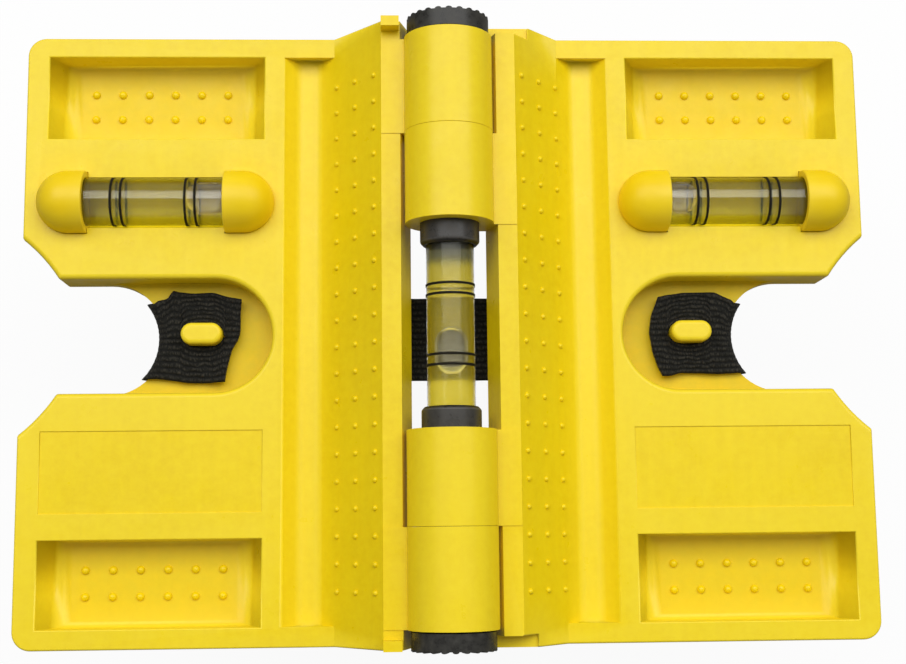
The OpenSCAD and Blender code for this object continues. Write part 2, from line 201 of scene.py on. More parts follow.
def leaf_plastic():
    """Moulded satin plastic: mottled yellow, fine spark-eroded skin, worn edges, and floors of the seat and
    pockets rougher and darkened by painted shade.
    """
    n = Nodes("leaf_plastic")
    shader = n.shader(IOR=1.5, Specular_IOR_Level=0.33)
    cloudy = n.remap(n.noise(22, 2), 0.35, 0.65, 0, 1)
    grainy = n.remap(n.noise(1.5, 5, 0.6), 0.3, 0.7, 0, 1)
    flow = n.remap(n.noise(1.6, 3, stretch=(1, 10, 1)), 0.35, 0.65, 0, 1)
    base = n.mix(cloudy, (0.86, 0.62, 0.0008), (0.91, 0.67, 0.0015))
    streaked = n.mix(n.remap(flow, 0, 1, 0, 0.28), base, (0.78, 0.55, 0.0008))
    speckled = n.mix(n.remap(grainy, 0, 1, 0, 0.55), streaked, (0.95, 0.74, 0.008))
    wear = n.remap(n.attribute("edge"), 0, 1, 0, 0.45)
    worn = n.mix(wear, speckled, (0.96, 0.77, 0.05))
    seat = n.attribute("seat")
    # Painted shade: the floor of the strap's seat, and in part the pocket floors, turn to these darker,
    # mottled colours
    seat_shade_mottle = n.remap(n.noise(2.4, 4, 0.6), 0.35, 0.65, 0, 1)
    seat_shade = n.mix(seat_shade_mottle, (0.82, 0.58, 0.001), (0.76, 0.56, 0.004))
    n.join(n.mix(seat, worn, seat_shade), shader.inputs["Base Color"])
    satin = n.remap(n.noise(4, 4), 0.3, 0.7, 0.27, 0.39)
    n.join(n.sum(satin, n.remap(seat, 0, 1, 0, 0.16)), shader.inputs["Roughness"])
    sink = n.bump(n.noise(16, 2), 0.12, 0.35)
    n.join(n.bump(n.noise(0.55, 5, 0.65), 0.03, 0.5, sink), shader.inputs["Normal"])
    return n.material


def cap_plastic():
    """Smoother, deeper yellow plastic with faint flow marks along each cap."""
    n = Nodes("cap_plastic")
    shader = n.shader(IOR=1.5, Specular_IOR_Level=0.35)
    flow = n.remap(n.noise(3, 3, stretch=(5, 1, 1)), 0.3, 0.7, 0, 1)
    base = n.mix(flow, (0.88, 0.61, 0.003), (0.92, 0.66, 0.006))
    wear = n.remap(n.attribute("edge"), 0, 1, 0, 0.35)
    n.join(n.mix(wear, base, (0.96, 0.74, 0.06)), shader.inputs["Base Color"])
    n.join(n.remap(n.noise(2.5, 4), 0.3, 0.7, 0.34, 0.46), shader.inputs["Roughness"])
    n.join(n.bump(n.noise(0.8, 4), 0.02, 0.35), shader.inputs["Normal"])
    return n.material


def pin_plastic():
    """Black nylon with turning marks round the pin, greyed, rubbed edges, and heads painted a lighter grey
    as a painted highlight.
    """
    n = Nodes("pin_plastic")
    shader = n.shader(IOR=1.5, Specular_IOR_Level=0.29)
    rubbed = n.remap(n.noise(1.6, 5), 0.4, 0.75, 0, 1)
    base = n.mix(rubbed, (0.009, 0.008, 0.007), (0.028, 0.025, 0.021))
    wear = n.remap(n.attribute("edge"), 0, 1, 0, 0.7)
    worn = n.mix(wear, base, (0.10, 0.095, 0.085))
    # Painted highlight: the heads are painted a lighter grey than the rest of the pin
    head_highlight = n.mix(rubbed, (0.022, 0.021, 0.018), (0.052, 0.050, 0.042))
    n.join(n.mix(n.attribute("head"), worn, head_highlight), shader.inputs["Base Color"])
    n.join(n.remap(rubbed, 0, 1, 0.27, 0.44), shader.inputs["Roughness"])
    turned = n.bump(n.noise(0.5, 3, stretch=(8, 1, 8)), 0.03, 0.4)
    n.join(n.bump(n.noise(0.4, 4), 0.02, 0.4, turned), shader.inputs["Normal"])
    return n.material


def let_light_through(n, shader):
    """Lets lamps and lit surfaces shine straight through a clear piece.

    What lies under the piece then isn't in the dark.
    """
    path = n.add("ShaderNodeLightPath")
    clear = n.add("ShaderNodeBsdfTransparent")
    blend = n.add("ShaderNodeMixShader")
    n.join(n.sum(path.outputs["Is Shadow Ray"], path.outputs["Is Diffuse Ray"]), blend.inputs[0])
    n.join(shader.outputs[0], blend.inputs[1])
    n.join(clear.outputs[0], blend.inputs[2])
    n.join(blend.outputs[0], n.output.inputs["Surface"])


def clear_tube(name, ior, smooth, rough):
    """Clear acrylic with the faintest wipe marks."""
    n = Nodes(name)
    shader = n.shader(IOR=ior, Transmission_Weight=1.0, Base_Color=(0.97, 0.97, 0.94, 1))
    n.join(n.remap(n.noise(2, 4), 0.35, 0.7, smooth, rough), shader.inputs["Roughness"])
    let_light_through(n, shader)
    return n.material


def spirit(name, ior, clearness, pale, deep):
    """Dyed spirit, partly cloudy, with a greyer bubble, a painted highlight round the bubble's rim, and
    painted shade darker towards one end of the column.
    """
    n = Nodes(name)
    shader = n.shader(IOR=ior, Transmission_Weight=clearness, Roughness=0.02)
    swirl = n.remap(n.noise(2.5, 3), 0.35, 0.65, 0, 1)
    dyed = n.mix(swirl, deep, pale)
    airy = n.mix(n.attribute("bubble"), dyed, (0.32, 0.30, 0.20))
    # Painted shade: darker towards the column's end
    end_shaded = n.mix(n.attribute("end"), airy, (0.13, 0.123, 0.06))
    # Painted highlight: a pale band round the bubble's rim
    n.join(n.mix(n.attribute("rim"), end_shaded, (0.80, 0.74, 0.36)), shader.inputs["Base Color"])
    let_light_through(n, shader)
    return n.material


def ring_ink():
    """Flat black ink, a little uneven."""
    n = Nodes("ring_ink")
    shader = n.shader(IOR=1.5, Specular_IOR_Level=0.15)
    patchy = n.remap(n.noise(0.6, 3), 0.3, 0.7, 0, 1)
    n.join(n.mix(patchy, (0.005, 0.004, 0.002), (0.013, 0.011, 0.007)), shader.inputs["Base Color"])
    n.join(n.remap(patchy, 0, 1, 0.6, 0.75), shader.inputs["Roughness"])
    return n.material


def stopper():
    """Milky stopper, slightly waxy."""
    n = Nodes("stopper")
    shader = n.shader(IOR=1.45)
    waxy = n.remap(n.noise(1.5, 3), 0.3, 0.7, 0, 1)
    n.join(n.mix(waxy, (0.52, 0.52, 0.46), (0.60, 0.60, 0.54)), shader.inputs["Base Color"])
    n.join(n.remap(waxy, 0, 1, 0.4, 0.55), shader.inputs["Roughness"])
    return n.material


def strap_elastic():
    """Black knitted elastic: a painted highlight on top of each cord, painted shade almost black between
    them, and stitches across them.
    """
    n = Nodes("strap_elastic")
    shader = n.shader(IOR=1.4, Specular_IOR_Level=0.25, Sheen_Weight=0.08, Sheen_Roughness=0.4)
    fuzz = n.remap(n.noise(0.5, 5, 0.7), 0.35, 0.7, 0, 1)
    stitches = n.noise(0.45, 2, stretch=(0.7, 1.8, 1))
    lit_stitches = n.mix(n.remap(stitches, 0.42, 0.65, 0, 1), (0.006, 0.006, 0.004), (0.046, 0.042, 0.032))
    # Painted highlight on top of each cord, and painted shade almost black in the grooves
    lit_tops = n.remap(n.attribute("lit_cord_top"), 0.3, 1, 0, 1)
    base = n.mix(lit_tops, (0.003, 0.003, 0.002), lit_stitches)
    n.join(n.mix(n.remap(fuzz, 0, 1, 0, 0.5), base, (0.008, 0.008, 0.006)), shader.inputs["Base Color"])
    n.join(n.remap(fuzz, 0, 1, 0.62, 0.8), shader.inputs["Roughness"])
    knit = n.bump(stitches, 0.3)
    n.join(n.bump(n.noise(0.18, 3), 0.05, 0.7, knit), shader.inputs["Normal"])
    return n.material


# Rounded copies of the moulded pieces

SHARP_ANGLE = math.radians(28)
FLAT_ANGLE = math.radians(0.5)
FACES_UP = 0.99
WELD = 0.002
BUMP_EDGE = 0.16
SLIVER_PASSES = 4
ROUND_STEPS = 3

# Triangulation of a flat: which triangles it keeps, and how near spots count as one, in millimetres
KEEP_INSIDE = 1
SAME_SPOT = 1e-7


def edge_spot(edge):
    """The middle of an edge, in millimetres."""
    return (edge.verts[0].co + edge.verts[1].co) / 2 / MM


def edge_shares(mesh):
    """For each vertex, the share of its faces that the rounding made."""
    on_round = np.zeros(len(mesh.vertices))
    around = np.zeros(len(mesh.vertices))
    for face in mesh.polygons:
        corners = list(face.vertices)
        around[corners] += 1
        on_round[corners] += face.material_index
    return on_round / np.maximum(around, 1)


def flat_group(start):
    """The faces that lie in one plane with start and join it."""
    group = {start}
    waiting = [start]
    while waiting:
        face = waiting.pop()
        for edge in face.edges:
            for near in edge.link_faces:
                if near not in group and near.normal.angle(start.normal, math.pi) < FLAT_ANGLE:
                    group.add(near)
                    waiting.append(near)
    return group


def within(spots, starts, ends):
    """Which spots the closed outlines from starts to ends enclose, by counting crossings."""
    px, py = spots[:, None, 0], spots[:, None, 1]
    spans = (starts[:, 1] > py) != (ends[:, 1] > py)
    rise = np.where(ends[:, 1] == starts[:, 1], 1, ends[:, 1] - starts[:, 1])
    crossing = starts[:, 0] + (ends[:, 0] - starts[:, 0]) * (py - starts[:, 1]) / rise
    return (spans & (px < crossing)).sum(axis=1) % 2 == 1


def fill_flat(bm, rim, normal):
    """Fills the outlines in rim, with their holes, by triangles that face along normal."""
    verts = list(dict.fromkeys(vert for edge in rim for vert in edge.verts))
    number = {vert: k for k, vert in enumerate(verts)}
    turn = normal.rotation_difference(Vector((0, 0, 1)))
    spots = [(turn @ vert.co / MM).xy for vert in verts]
    lines = [(number[edge.verts[0]], number[edge.verts[1]]) for edge in rim]
    places, _, faces, origins, _, _ = delaunay_2d_cdt(spots, lines, [], KEEP_INSIDE, SAME_SPOT)
    plane = np.array(spots)
    nearest = []
    for own, place in zip(origins, places):
        nearest.append(own[0] if own else int(np.linalg.norm(plane - place, axis=1).argmin()))
    triangles = [[nearest[k] for k in face] for face in faces]
    corners = np.array([triangle for triangle in triangles if len(set(triangle)) == 3])
    starts, ends = plane[[a for a, _ in lines]], plane[[b for _, b in lines]]
    kept = within(plane[corners].mean(axis=1), starts, ends)
    made = {}
    for corner in corners[kept]:
        around = [verts[k] for k in corner]
        if not bm.faces.get(around):
            made[bm.faces.new(around)] = True
    for face in made:
        face.normal_update()
        face.smooth = True
    outline = set(rim)
    edges = dict.fromkeys(edge for face in made for edge in face.edges if edge not in outline)
    inner = [edge for edge in edges if all(face in made for face in edge.link_faces)]
    inner.sort(key=lambda edge: edge.calc_length())
    joined = bmesh.ops.dissolve_limit(bm, angle_limit=FLAT_ANGLE, verts=[], edges=inner)
    for face in joined["region"]:
        face.smooth = True


def refill_flats(mesh):
    """Fills each flat region anew, because rounding a rim can fold a many-sided face over itself.

    Edges are taken in a fixed order, so that every run makes the same faces.
    """
    bm = bmesh.new()
    bm.from_mesh(mesh)
    many_sided = [face for face in bm.faces if len(face.verts) > 4]
    for start in many_sided:
        if not start.is_valid:
            continue
        group = flat_group(start)
        normal = start.normal.copy()
        edges = {edge for face in group for edge in face.edges}
        rim = [edge for edge in edges if len(group.intersection(edge.link_faces)) == 1]
        rim.sort(key=lambda edge: tuple(edge_spot(edge)))
        bmesh.ops.delete(bm, geom=list(group), context="FACES_ONLY")
        bmesh.ops.delete(bm, geom=list(edges.difference(rim)), context="EDGES")
        fill_flat(bm, rim, normal)
    bm.to_mesh(mesh)
    bm.free()


def rounded(node, radius_of, material, body, place_of=None):
    """A copy of a node whose sharp edges are rounded, and which stands for it.

    radius_of(edge, whether it is convex) gives each edge's radius. Where place_of is given, each
    corner first moves to place_of(its spot).
    """
    bm = bmesh.new()
    bm.from_mesh(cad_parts[node].data)
    if place_of:
        for vert in bm.verts:
            vert.co = place_of(vert.co / MM) * MM
    bmesh.ops.remove_doubles(bm, verts=bm.verts, dist=WELD * MM)
    for _ in range(SLIVER_PASSES):
        bmesh.ops.dissolve_degenerate(bm, dist=WELD * MM, edges=bm.edges)
    bmesh.ops.dissolve_limit(bm, angle_limit=FLAT_ANGLE, verts=bm.verts, edges=bm.edges)
    weights = bm.edges.layers.float.new("bevel_weight_edge")
    for edge in bm.edges:
        angle = edge.calc_face_angle_signed(0)
        if abs(angle) < SHARP_ANGLE:
            continue
        if edge.calc_length() / MM > BUMP_EDGE:
            edge[weights] = radius_of(edge, angle > 0)
        edge.smooth = edge[weights] > 0
    for face in bm.faces:
        face.smooth = True
        face.material_index = 0
    draft = bpy.data.meshes.new(node + "_draft")
    bm.to_mesh(draft)
    bm.free()
    obj = link(bpy.data.objects.new(node + "_form", draft))
    draft.materials.append(material)
    draft.materials.append(material)
    bevel = obj.modifiers.new("round", "BEVEL")
    bevel.limit_method = "WEIGHT"
    bevel.width = MM
    bevel.segments = ROUND_STEPS
    bevel.use_clamp_overlap = False
    bevel.loop_slide = False
    bevel.material = 1
    evaluated = obj.evaluated_get(bpy.context.evaluated_depsgraph_get())
    mesh = bpy.data.meshes.new_from_object(evaluated)
    refill_flats(mesh)
    obj.modifiers.clear()
    obj.data = mesh
    shares = mesh.attributes.new("edge", "FLOAT", "POINT")
    shares.data.foreach_set("value", edge_shares(mesh).astype(np.float32))
    for face in mesh.polygons:
        face.material_index = 0
    mesh.materials.pop(index=1)
    normals = obj.modifiers.new("normals", "WEIGHTED_NORMAL")
    normals.keep_sharp = True
    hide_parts(node)
    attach(obj, body)
    return obj


# Radii of a leaf's rounds
RIM_ROUND = 0.45
NOTCH_ROUND = 1.0
POCKET_ROUND = 0.25
PANEL_ROUND = 0.1
KNUCKLE_ROUND = 0.06
PEG_ROUND = 0.9
POCKET_FILLET = 1.3
POCKET_END_FILLET = 2.8
TROUGH_FILLET = 1.2
BACK_ROUND = 0.35

# Zones of a leaf: distance from the hinge axis, then place along the hinge
NOTCH_ZONE = ((35.0, 87.0), (-12.0, 12.0))
MOUTH_ZONE = ((78.0, 87.0), (-20.5, 20.5))
PANEL_ZONE = ((37.0, 82.0), (-36.0, -19.0))
BED_ZONE = ((34.5, 84.0), (20.0, 35.0))
POCKET_ZONE = ((37.0, 82.0), (40.0, 58.5))
TROUGH_END_ZONE = ((22.0, 34.5), (57.5, 58.6))
TROUGH_IN = 26.0
TROUGH_OUT = 31.0
HINGE_REACH = 13.5
BARREL_R = 8.8
NEAR = 0.3

# How dull the floors of the finger pockets are, and how far painted shade darkens them, where the strap's
# seat has 1
POCKET_DULL_AND_SHADE = 0.55

# Seams between the knuckles: their place along the hinge, and the share of the gap that shows
SEAM = 38.8
SEAM_SHARE = 0.2


def inside(u, y, zone):
    (u0, u1), (y0, y1) = zone
    return u0 < u < u1 and y0 < y < y1


def leaf_radius(edge, convex):
    """Radius of the round on one sharp edge of a leaf."""
    spot = edge_spot(edge)
    u, y, z = abs(spot.x), spot.y, spot.z
    in_pocket = inside(u, abs(y), POCKET_ZONE)
    if not convex:
        if in_pocket and abs(z - POCKET_FLOOR) < NEAR:
            across = edge.verts[0].co - edge.verts[1].co
            return POCKET_END_FILLET if abs(across.y) > abs(across.x) else POCKET_FILLET
        in_trough = TROUGH_IN < u < TROUGH_OUT and abs(z - TROUGH_FLOOR) < NEAR
        return TROUGH_FILLET if in_trough else 0
    if u < HINGE_REACH and z > FLAT_TOP:
        return KNUCKLE_ROUND if math.hypot(u, z - AXIS_H) < BARREL_R + NEAR else 0
    if inside(u, y, BED_ZONE) or inside(u, abs(y), TROUGH_END_ZONE):
        return 0
    faces_up = any(face.normal.z > FACES_UP for face in edge.link_faces)
    if not faces_up:
        return BACK_ROUND
    if inside(u, y, NOTCH_ZONE) and z < FLAT_TOP - NEAR:
        return PEG_ROUND if z > RECESS_FLOOR + NEAR else 0
    if inside(u, y, NOTCH_ZONE) or inside(u, y, MOUTH_ZONE):
        return NOTCH_ROUND
    if inside(u, y, PANEL_ZONE):
        return PANEL_ROUND
    return POCKET_ROUND if in_pocket else RIM_ROUND


def knuckle_place(spot):
    """Brings the ends of neighbouring knuckles together, so that the seam shows as a hairline."""
    beyond = abs(spot.y) - SEAM
    if abs(spot.x) < HINGE_REACH and abs(beyond) < NEAR:
        spot.y = math.copysign(SEAM + beyond * SEAM_SHARE, spot.y)
    return spot


def mark(piece, name, covers):
    """Writes to each vertex the share, from 0 to 1, that covers(its spot) gives."""
    marks = piece.data.attributes.new(name, "FLOAT", "POINT")
    for vert, entry in zip(piece.data.vertices, marks.data):
        entry.value = covers(vert.co / MM)


def dull_and_shaded_at(spot):
    """How dull a leaf is at a spot, and how far painted shade darkens it: fully on the floor of the strap's
    seat, partly in the pockets.
    """
    if inside(abs(spot.x), abs(spot.y), POCKET_ZONE) and spot.z < POCKET_FLOOR + POCKET_ROUND:
        return POCKET_DULL_AND_SHADE
    return inside(abs(spot.x), spot.y, NOTCH_ZONE) and spot.z < RECESS_FLOOR + NEAR


CAP_ROUND = 0.3
PIN_ROUND = 0.25
HEAD_DEPTH = 4.0
COLLAR_RIM = 5.3
HEAD_TOP = box_mm("upper_hinge_pin")[1].y
HEAD_FROM = HEAD_TOP - HEAD_DEPTH

# Head of a pin, and its teeth: radius, how far they show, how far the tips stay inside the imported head
HEAD_R = 8.2
TOOTH_R = 0.65
TOOTH_SHOWS = 0.34
TOOTH_SPARE = 0.05


def cap_radius(_, convex):
    return CAP_ROUND if convex else 0


def pin_radius(edge, convex):
    """Rounds the collar, and leaves its thin inner rim and the teeth of the head."""
    spot = edge_spot(edge)
    on_collar = math.hypot(spot.x, spot.z - AXIS_H) > COLLAR_RIM and abs(spot.y) < HEAD_FROM
    return PIN_ROUND if convex and on_collar else 0


def on_head(spot):
    return abs(spot.y) > HEAD_FROM - NEAR


def head_place(spot):
    """Sinks the teeth of a head to low nubs, flush with its side, and raises the head between them."""
    plane = HEAD_TOP - TOOTH_R
    tips = HEAD_TOP - TOOTH_SPARE
    packed = (plane - TOOTH_R, plane, HEAD_TOP)
    if abs(spot.y) > packed[0]:
        shown = np.interp(abs(spot.y), packed, (packed[0], tips - TOOTH_SHOWS, tips))
        spot.y = math.copysign(shown, spot.y)
        share = min(1, HEAD_R / max(math.hypot(spot.x, spot.z - AXIS_H), NEAR))
        spot.x *= share
        spot.z = AXIS_H + (spot.z - AXIS_H) * share
    return spot


# Vials

WALL = 1.0
OVERLAP = 0.02
FLUID_SIDES = 96
FLUID_ROWS = 150
BUBBLE_W = 5.6
BUBBLE_DEPTH = 2.2
BUBBLE_SOFT = 0.12
# Painted shade at a column's end: how far it eases in part, how far in full, and how much eases first
END_SOFT = 2.0
END_FADE = 13.0
END_STEP = 0.6
# Painted highlight round a bubble: from this share of its half width out to its rim
RIM_FROM = 0.8
FAR_SIDE = 2.0

# Fluid of each vial, along its tube: the ends of the column, where the painted shade at the hinge vial's
# end begins to ease, and the middle and length of each bubble
LEAF_COLUMN = (-16.3, 14.9)
HINGE_COLUMN = (-18.3, 16.9)
HINGE_SHADE_FROM = -13.6
LEFT_BUBBLE = (10.75, 8.1)
RIGHT_BUBBLE = (11.7, 6.2)
HINGE_BUBBLE = (5.2, 8.8)


def bubble_reach(around, place, bubble):
    """Distance from a bubble's spine as a share of its half width: 0 in the middle, 1 on its rim."""
    middle, length = bubble
    beyond = max(abs(place - middle) - (length - BUBBLE_W) / 2, 0)
    return math.hypot(around, beyond) / (BUBBLE_W / 2)


def ramp(x, low, high):
    """Smooth step from 0 at low to 1 at high."""
    share = min(max((x - low) / (high - low), 0), 1)
    return share * share * (3 - 2 * share)


def fluid_mesh(name, radius, low, high, bubble, shade_from):
    """A round column of fluid along Z, with a bubble (middle, length) pressed into its +X side.

    Below shade_from the column is painted in full shade, where the tube's own solid end lies, and above it
    the painted shade soon eases in part and farther on in full, so that the dye shows.
    """
    bm = bmesh.new()
    hollow = bm.verts.layers.float.new("bubble")
    rim = bm.verts.layers.float.new("rim")
    end = bm.verts.layers.float.new("end")
    rows = []
    for i in range(FLUID_ROWS + 1):
        place = low + (high - low) * i / FLUID_ROWS
        soon = ramp(place, shade_from, shade_from + END_SOFT)
        later = ramp(place, shade_from, shade_from + END_FADE)
        row = []
        for k in range(FLUID_SIDES):
            turn = 2 * math.pi * k / FLUID_SIDES
            facing = math.cos(turn) > 0
            reach = bubble_reach(radius * math.sin(turn), place, bubble) if facing else FAR_SIDE
            depth = BUBBLE_DEPTH * math.sqrt(1 - reach ** 2) if reach < 1 else 0
            vert = bm.verts.new((radius * math.cos(turn) - depth, radius * math.sin(turn), place))
            vert[hollow] = 1 - ramp(reach, 1 - BUBBLE_SOFT, 1)
            # Painted shade: 1 at the column's end, easing off along the column
            vert[end] = 1 - END_STEP * soon - (1 - END_STEP) * later
            # Painted highlight: strongest on the bubble's rim
            vert[rim] = ramp(reach, RIM_FROM, 1) * (1 - ramp(reach, 1, 1 + BUBBLE_SOFT))
            row.append(vert)
        rows.append(row)
    for lower, upper in zip(rows, rows[1:]):
        for k in range(FLUID_SIDES):
            bm.faces.new((lower[k - 1], lower[k], upper[k], upper[k - 1])).smooth = True
    bm.faces.new(rows[0][::-1])
    bm.faces.new(rows[-1])
    mesh = bpy.data.meshes.new(name)
    bm.to_mesh(mesh)
    bm.free()
    return mesh


def make_fluid(vial, turn, span, bubble, shade_from, material, body):
    """Fluid for a vial; turn takes the column's +Z to the tube's axis and its +X to the top."""
    low_corner, high_corner = box_mm(vial + "_vial_tube")
    radius = min(high_corner - low_corner) / 2 - WALL + OVERLAP
    mesh = fluid_mesh(vial + "_fluid", radius, *span, bubble, shade_from)
    mesh.transform(Matrix.Scale(MM, 4))
    mesh.transform(turn)
    mesh.transform(Matrix.Translation((low_corner + high_corner) / 2 * MM))
    mesh.materials.append(material)
    obj = link(bpy.data.objects.new(vial + "_fluid", mesh))
    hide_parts(vial + "_vial_fluid")
    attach(obj, body)


# Strap

CORDS = 14
CORD_STEPS = 8
CORD_DEPTH = 0.26
BEND_RELIEF = 0.25
BEND_AT = -11.0
CURL = 1.0
CURL_LENGTH = 4.5
EDGE_SOFT = np.linspace(-0.5, 0.5, 7)
BACK_HALF = 8.6
SLIT_HALF = 4.4
SLIT_OPEN = 2.45
SLIT_POWER = 0.45
RUN_STEPS = 56
BEND_STEPS = 12
BACK_STEPS = 60
BACK_EASE = 0.35
WALL_GAP = 0.05

# Waves of the cords: sideways by a slow and a quick one, upward by a third, and in the grooves by a fourth.
# A rate is in radians per millimetre along the strap, and a skew in radians from its middle to its edge.
WAVE = 0.22
WAVE_FADE = 4.0
WAVE_FROM = (0.25, 0.5)
SLOW_RATE = 0.95
SLOW_SKEW = 3.1
QUICK_RATE = 2.1
QUICK_SKEW = 7.3
QUICK_SHARE = 0.7
LIFT = 0.2
LIFT_RATE = 0.9
LIFT_SKEW = 2.2
GROOVE_EVEN = 0.75
GROOVE_RATE = 1.3
GROOVE_SKEW = 9.0

# Outline of each free end: (distance beyond the peg's middle, away from the notch; place up the hinge).
# The upper and lower edges start at the bend in the notch, and the cut end joins them.
LEFT_END = {
    "upper": [(-11.8, 7.0), (-9.0, 7.9), (-7.0, 8.3), (-6.4, 10.1), (-5.5, 9.7), (-1.8, 9.3), (2.1, 9.5),
              (4.9, 8.6), (7.9, 7.9)],
    "lower": [(-12.0, -8.2), (-8.6, -8.3), (-5.5, -8.7), (-3.4, -9.1), (1.0, -9.2), (4.6, -9.0)],
    "cut": [(4.6, -9.0), (5.1, -6.2), (6.0, -2.9), (7.4, -0.6), (7.7, 0.9), (7.7, 5.0), (7.9, 7.9)],
}
RIGHT_END = {
    "upper": [(-11.0, 6.8), (-9.7, 7.2), (-7.4, 8.2), (-5.6, 9.1), (-2.0, 9.1), (1.5, 9.0), (4.6, 8.5),
              (6.4, 8.0)],
    "lower": [(-11.0, -7.7), (-6.0, -8.0), (-1.8, -7.8), (2.0, -7.7), (4.2, -8.4), (5.8, -8.4)],
    "cut": [(5.8, -8.4), (6.9, -6.4), (7.8, -3.5), (8.4, 0.6), (7.9, 4.4), (6.4, 8.0)],
}


def along(points, x):
    """The outline's height at x, with its corners softened."""
    xs, ys = zip(*sorted(points))
    return float(np.interp(x + EDGE_SOFT, xs, ys).mean())


def cut_place(end, v):
    """How far beyond the peg the cut end lies on the cord at v, from -1 below to 1 above."""
    ys = [y for _, y in end["cut"]]
    y = (ys[0] + ys[-1]) / 2 + v * (ys[-1] - ys[0]) / 2
    return along([(yy, xx) for xx, yy in end["cut"]], y)


def slit(x):
    """Half the opening of the slit round the peg."""
    share = 1 - (x / SLIT_HALF) ** 2
    return SLIT_OPEN * share ** SLIT_POWER if share > 0 else 0.0


def edge_at(end, x, v):
    """The strap's edge on v's side, at x beyond the peg."""
    return along(end["upper"] if v >= 0 else end["lower"], x)


def notch_wall(y):
    """Distance of the notch's inner end from the hinge axis."""
    return NOTCH_MID - math.sqrt(max(NOTCH_R ** 2 - y ** 2, 0))


class StrapLine:
    """One cord's line across half the strap, from the cut end to the middle of the back."""

    def __init__(self, end, v, side_of_slit):
        self.end = end
        self.v = v
        self.side = side_of_slit

    def width_at(self, x):
        edge = edge_at(self.end, x, self.side)
        opening = slit(x) * self.side
        share = abs(self.v)
        return PEG_Y * (1 - share) * (slit(x) > 0) + opening * (1 - share) + edge * share

    def points(self):
        """Places (distance from the hinge axis, along the hinge, height, outward normal, cord relief)."""
        bend_r = (STRAP_HIGH - STRAP_LOW - STRAP_T) / 2
        top = STRAP_HIGH - STRAP_T / 2
        low = STRAP_LOW + STRAP_T / 2
        bend_y = self.width_at(BEND_AT)
        centre = notch_wall(bend_y) + WALL_GAP + STRAP_T / 2 - bend_r
        start = PEG_MID - cut_place(self.end, self.v)
        rows = []
        for k in range(RUN_STEPS + 1):
            u = start + (centre - start) * k / RUN_STEPS
            y = self.width_at(PEG_MID - u) + self.wave(u)
            rows.append((u, y, top + self.lift(u, start, centre), (0, 1), 1))
        for k in range(1, BEND_STEPS):
            a = math.pi * k / BEND_STEPS
            normal = (math.sin(a), math.cos(a))
            height = (top + low) / 2 + bend_r * normal[1]
            rows.append((centre + bend_r * normal[0], bend_y, height, normal, BEND_RELIEF))
        for k in range(BACK_STEPS + 1):
            share = k / BACK_STEPS
            y = bend_y + (self.v * BACK_HALF - bend_y) * ramp(share, 0, BACK_EASE)
            rows.append((centre * (1 - share), y, low, (0, -1), 1))
        return rows

    def wave(self, u):
        """How far the cord wanders sideways at u, which fades towards the edges, the slit and the notch."""
        slow = math.sin(SLOW_RATE * u + SLOW_SKEW * self.v)
        quick = math.sin(QUICK_RATE * u - QUICK_SKEW * self.v)
        by_notch = ramp(NOTCH_MID - NOTCH_R - u, 0, WAVE_FADE)
        by_slit = ramp(abs(self.v), *WAVE_FROM)
        return WAVE * (slow + QUICK_SHARE * quick) * (1 - self.v ** 2) * by_notch * by_slit

    def lift(self, u, start, centre):
        """How far the strap stands off the seat at u: small waves, and a curl at the cut end."""
        wave = LIFT * math.sin(LIFT_RATE * (u - PEG_MID) + LIFT_SKEW * self.v)
        return wave * (centre - u) / (centre - start) + CURL * (1 - ramp(u - start, 0, CURL_LENGTH))


def strap_grid():
    """Lines of the whole strap, each with its v and its points from the left cut end to the right one."""
    count = CORDS * CORD_STEPS
    lines = []
    for j in range(count + 1):
        v = 2 * j / count - 1
        sides = (-1, 1) if j == count // 2 else (math.copysign(1, v),)
        for side in sides:
            left = [(-u, y, z, (-n[0], n[1]), r) for u, y, z, n, r in StrapLine(LEFT_END, v, side).points()]
            right = StrapLine(RIGHT_END, v, side).points()
            lines.append((v, left + right[-2::-1]))
    return lines


